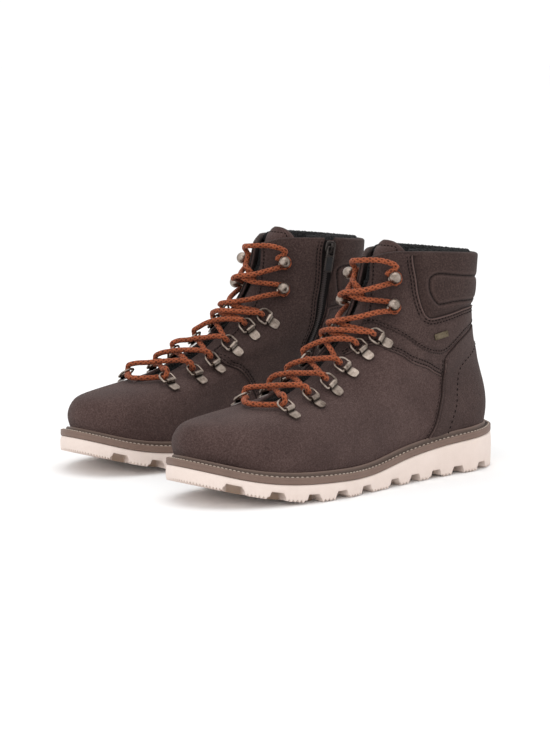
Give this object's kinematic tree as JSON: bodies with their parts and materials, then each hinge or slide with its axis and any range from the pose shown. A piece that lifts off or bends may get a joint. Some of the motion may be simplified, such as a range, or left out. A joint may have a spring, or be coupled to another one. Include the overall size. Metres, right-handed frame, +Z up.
{
  "type": "pair of insulated hunting boots",
  "caption": "Pair of ankle-high insulated hunting boots: nubuck uppers with padded collars and side zips, cord laces through swinging rings and ball hooks, wedge soles.",
  "frame": {"origin": "on the floor, under the middle of the bounding box of the pair", "axes": "-X towards the toes, +Y towards the wearer's right boot, +Z up"},
  "size_m": [0.3234, 0.2706, 0.1816],
  "materials": {
    "nubuck": "fine-grained dark chocolate nubuck, double stitched",
    "collar_nubuck": "soft padded dark chocolate nubuck",
    "fleece": "black brushed fleece",
    "wadding": "grey insulating felt",
    "wedge_sole": "cream matt foam rubber",
    "midsole_band": "taupe brown matt rubber",
    "welt": "dark brown welt with pale stitching",
    "board": "raw fibre board",
    "foam": "felt-topped foam",
    "old_nickel": "antique nickel plating",
    "lace_cord": "braided rust-orange cord with dark flecks",
    "zip_tape": "black nylon coil zip",
    "dark_metal": "gunmetal"
  },
  "bodies": {
    "left_boot": {"left_outsole": "wedge_sole", "left_midsole": "midsole_band", "left_welt": "welt", "left_insole_board": "board", "left_footbed": "foam", "left_vamp": "nubuck", "left_quarter": "nubuck", "left_collar": "collar_nubuck", "left_heel_counter": "nubuck", "left_insulation": "wadding", "left_lining": "fleece", "left_tongue": "nubuck", "left_lace_hardware": "old_nickel", "left_lace": "lace_cord", "left_zip_tape": "zip_tape", "left_badge": "old_nickel"},
    "right_boot": {"right_outsole": "wedge_sole", "right_midsole": "midsole_band", "right_welt": "welt", "right_insole_board": "board", "right_footbed": "foam", "right_vamp": "nubuck", "right_quarter": "nubuck", "right_collar": "collar_nubuck", "right_heel_counter": "nubuck", "right_insulation": "wadding", "right_lining": "fleece", "right_tongue": "nubuck", "right_lace_hardware": "old_nickel", "right_lace": "lace_cord", "right_zip_tape": "zip_tape", "right_badge": "old_nickel"},
    "left_ring_outer_1_body": {"left_ring_outer_1": "old_nickel"},
    "left_ring_outer_2_body": {"left_ring_outer_2": "old_nickel"},
    "left_ring_outer_3_body": {"left_ring_outer_3": "old_nickel"},
    "left_ring_outer_4_body": {"left_ring_outer_4": "old_nickel"},
    "left_ring_outer_5_body": {"left_ring_outer_5": "old_nickel"},
    "left_ring_outer_6_body": {"left_ring_outer_6": "old_nickel"},
    "left_ring_inner_1_body": {"left_ring_inner_1": "old_nickel"},
    "left_ring_inner_2_body": {"left_ring_inner_2": "old_nickel"},
    "left_ring_inner_3_body": {"left_ring_inner_3": "old_nickel"},
    "left_ring_inner_4_body": {"left_ring_inner_4": "old_nickel"},
    "left_ring_inner_5_body": {"left_ring_inner_5": "old_nickel"},
    "left_ring_inner_6_body": {"left_ring_inner_6": "old_nickel"},
    "left_slider": {"left_zip_slider": "dark_metal"},
    "left_pull": {"left_zip_pull": "dark_metal"},
    "right_ring_outer_1_body": {"right_ring_outer_1": "old_nickel"},
    "right_ring_outer_2_body": {"right_ring_outer_2": "old_nickel"},
    "right_ring_outer_3_body": {"right_ring_outer_3": "old_nickel"},
    "right_ring_outer_4_body": {"right_ring_outer_4": "old_nickel"},
    "right_ring_outer_5_body": {"right_ring_outer_5": "old_nickel"},
    "right_ring_outer_6_body": {"right_ring_outer_6": "old_nickel"},
    "right_ring_inner_1_body": {"right_ring_inner_1": "old_nickel"},
    "right_ring_inner_2_body": {"right_ring_inner_2": "old_nickel"},
    "right_ring_inner_3_body": {"right_ring_inner_3": "old_nickel"},
    "right_ring_inner_4_body": {"right_ring_inner_4": "old_nickel"},
    "right_ring_inner_5_body": {"right_ring_inner_5": "old_nickel"},
    "right_ring_inner_6_body": {"right_ring_inner_6": "old_nickel"},
    "right_slider": {"right_zip_slider": "dark_metal"},
    "right_pull": {"right_zip_pull": "dark_metal"}
  },
  "joints": [
    {"name": "right_boot_lift", "type": "slide", "parent": "left_boot", "child": "right_boot", "axis": [0, 0, 1], "range_m": [0, 0.25]},
    {"name": "left_ring_outer_1_swing", "type": "hinge", "parent": "left_boot", "child": "left_ring_outer_1_body", "pos_m": [-0.08352, -0.10849, 0.06579], "axis": [0.9776, 0.0862, 0.1918], "range_deg": [-6, 8], "deforming": ["left_lace"]},
    {"name": "left_ring_inner_1_swing", "type": "hinge", "parent": "left_boot", "child": "left_ring_inner_1_body", "pos_m": [-0.08284, -0.05336, 0.06693], "axis": [0.9939, 0.0175, 0.1092], "range_deg": [-6, 8], "deforming": ["left_lace"]},
    {"name": "left_ring_outer_2_swing", "type": "hinge", "parent": "left_boot", "child": "left_ring_outer_2_body", "pos_m": [-0.05674, -0.10595, 0.07068], "axis": [0.9633, 0.1341, 0.2327], "range_deg": [-6, 8], "deforming": ["left_lace"]},
    {"name": "left_ring_inner_2_swing", "type": "hinge", "parent": "left_boot", "child": "left_ring_inner_2_body", "pos_m": [-0.05602, -0.05206, 0.07027], "axis": [0.9852, -0.053, 0.1629], "range_deg": [-6, 8], "deforming": ["left_lace"]},
    {"name": "left_ring_outer_3_swing", "type": "hinge", "parent": "left_boot", "child": "left_ring_outer_3_body", "pos_m": [-0.03738, -0.10427, 0.07839], "axis": [0.8788, 0.1011, 0.4663], "range_deg": [-6, 8], "deforming": ["left_lace"]},
    {"name": "left_ring_inner_3_swing", "type": "hinge", "parent": "left_boot", "child": "left_ring_inner_3_body", "pos_m": [-0.03649, -0.05357, 0.07663], "axis": [0.934, -0.1542, 0.3223], "range_deg": [-6, 8], "deforming": ["left_lace"]},
    {"name": "left_ring_outer_4_swing", "type": "hinge", "parent": "left_boot", "child": "left_ring_outer_4_body", "pos_m": [-0.01912, -0.10036, 0.0891], "axis": [0.8539, 0.1358, 0.5024], "range_deg": [-6, 8], "deforming": ["left_lace"]},
    {"name": "left_ring_inner_4_swing", "type": "hinge", "parent": "left_boot", "child": "left_ring_inner_4_body", "pos_m": [-0.01843, -0.05369, 0.08855], "axis": [0.8377, -0.0259, 0.5456], "range_deg": [-6, 8], "deforming": ["left_lace"]},
    {"name": "left_ring_outer_5_swing", "type": "hinge", "parent": "left_boot", "child": "left_ring_outer_5_body", "pos_m": [-0.00107, -0.09823, 0.10068], "axis": [0.8666, -0.0227, 0.4985], "range_deg": [-6, 8], "deforming": ["left_lace"]},
    {"name": "left_ring_inner_5_swing", "type": "hinge", "parent": "left_boot", "child": "left_ring_inner_5_body", "pos_m": [-0.00028, -0.05377, 0.10034], "axis": [0.8582, 0.1105, 0.5014], "range_deg": [-6, 8], "deforming": ["left_lace"]},
    {"name": "left_ring_outer_6_swing", "type": "hinge", "parent": "left_boot", "child": "left_ring_outer_6_body", "pos_m": [0.01443, -0.10187, 0.10776], "axis": [0.7132, 0.1536, 0.6839], "range_deg": [-6, 8], "deforming": ["left_lace"]},
    {"name": "left_ring_inner_6_swing", "type": "hinge", "parent": "left_boot", "child": "left_ring_inner_6_body", "pos_m": [0.01541, -0.0491, 0.10759], "axis": [0.6945, -0.0425, 0.7183], "range_deg": [-6, 8], "deforming": ["left_lace"]},
    {"name": "left_zip_slide", "type": "slide", "parent": "left_boot", "child": "left_slider", "axis": [0.195, 0.0153, 0.9807], "range_m": [-0.058, 0]},
    {"name": "left_pull_flip", "type": "hinge", "parent": "left_slider", "child": "left_pull", "pos_m": [0.06927, -0.03371, 0.16237], "axis": [0.9346, 0.3003, -0.1905], "range_deg": [0, 110]},
    {"name": "right_ring_outer_1_swing", "type": "hinge", "parent": "right_boot", "child": "right_ring_outer_1_body", "pos_m": [-0.06152, 0.10849, 0.06579], "axis": [0.9776, -0.0862, 0.1918], "range_deg": [-6, 8], "deforming": ["right_lace"]},
    {"name": "right_ring_inner_1_swing", "type": "hinge", "parent": "right_boot", "child": "right_ring_inner_1_body", "pos_m": [-0.06084, 0.05336, 0.06693], "axis": [0.9939, -0.0175, 0.1092], "range_deg": [-6, 8], "deforming": ["right_lace"]},
    {"name": "right_ring_outer_2_swing", "type": "hinge", "parent": "right_boot", "child": "right_ring_outer_2_body", "pos_m": [-0.03474, 0.10595, 0.07068], "axis": [0.9633, -0.1341, 0.2327], "range_deg": [-6, 8], "deforming": ["right_lace"]},
    {"name": "right_ring_inner_2_swing", "type": "hinge", "parent": "right_boot", "child": "right_ring_inner_2_body", "pos_m": [-0.03401, 0.05206, 0.07027], "axis": [0.9852, 0.053, 0.1629], "range_deg": [-6, 8], "deforming": ["right_lace"]},
    {"name": "right_ring_outer_3_swing", "type": "hinge", "parent": "right_boot", "child": "right_ring_outer_3_body", "pos_m": [-0.01538, 0.10427, 0.07839], "axis": [0.8788, -0.1011, 0.4663], "range_deg": [-6, 8], "deforming": ["right_lace"]},
    {"name": "right_ring_inner_3_swing", "type": "hinge", "parent": "right_boot", "child": "right_ring_inner_3_body", "pos_m": [-0.01449, 0.05357, 0.07663], "axis": [0.934, 0.1542, 0.3223], "range_deg": [-6, 8], "deforming": ["right_lace"]},
    {"name": "right_ring_outer_4_swing", "type": "hinge", "parent": "right_boot", "child": "right_ring_outer_4_body", "pos_m": [0.00288, 0.10036, 0.0891], "axis": [0.8539, -0.1358, 0.5024], "range_deg": [-6, 8], "deforming": ["right_lace"]},
    {"name": "right_ring_inner_4_swing", "type": "hinge", "parent": "right_boot", "child": "right_ring_inner_4_body", "pos_m": [0.00357, 0.05369, 0.08855], "axis": [0.8377, 0.0259, 0.5456], "range_deg": [-6, 8], "deforming": ["right_lace"]},
    {"name": "right_ring_outer_5_swing", "type": "hinge", "parent": "right_boot", "child": "right_ring_outer_5_body", "pos_m": [0.02093, 0.09823, 0.10068], "axis": [0.8666, 0.0227, 0.4985], "range_deg": [-6, 8], "deforming": ["right_lace"]},
    {"name": "right_ring_inner_5_swing", "type": "hinge", "parent": "right_boot", "child": "right_ring_inner_5_body", "pos_m": [0.02173, 0.05377, 0.10034], "axis": [0.8582, -0.1105, 0.5014], "range_deg": [-6, 8], "deforming": ["right_lace"]},
    {"name": "right_ring_outer_6_swing", "type": "hinge", "parent": "right_boot", "child": "right_ring_outer_6_body", "pos_m": [0.03643, 0.10187, 0.10776], "axis": [0.7132, -0.1536, 0.6839], "range_deg": [-6, 8], "deforming": ["right_lace"]},
    {"name": "right_ring_inner_6_swing", "type": "hinge", "parent": "right_boot", "child": "right_ring_inner_6_body", "pos_m": [0.03741, 0.0491, 0.10759], "axis": [0.6945, 0.0425, 0.7183], "range_deg": [-6, 8], "deforming": ["right_lace"]},
    {"name": "right_zip_slide", "type": "slide", "parent": "right_boot", "child": "right_slider", "axis": [0.195, -0.0153, 0.9807], "range_m": [-0.058, 0]},
    {"name": "right_pull_flip", "type": "hinge", "parent": "right_slider", "child": "right_pull", "pos_m": [0.09127, 0.03371, 0.16237], "axis": [-0.9346, 0.3003, 0.1905], "range_deg": [0, 110]}
  ]
}
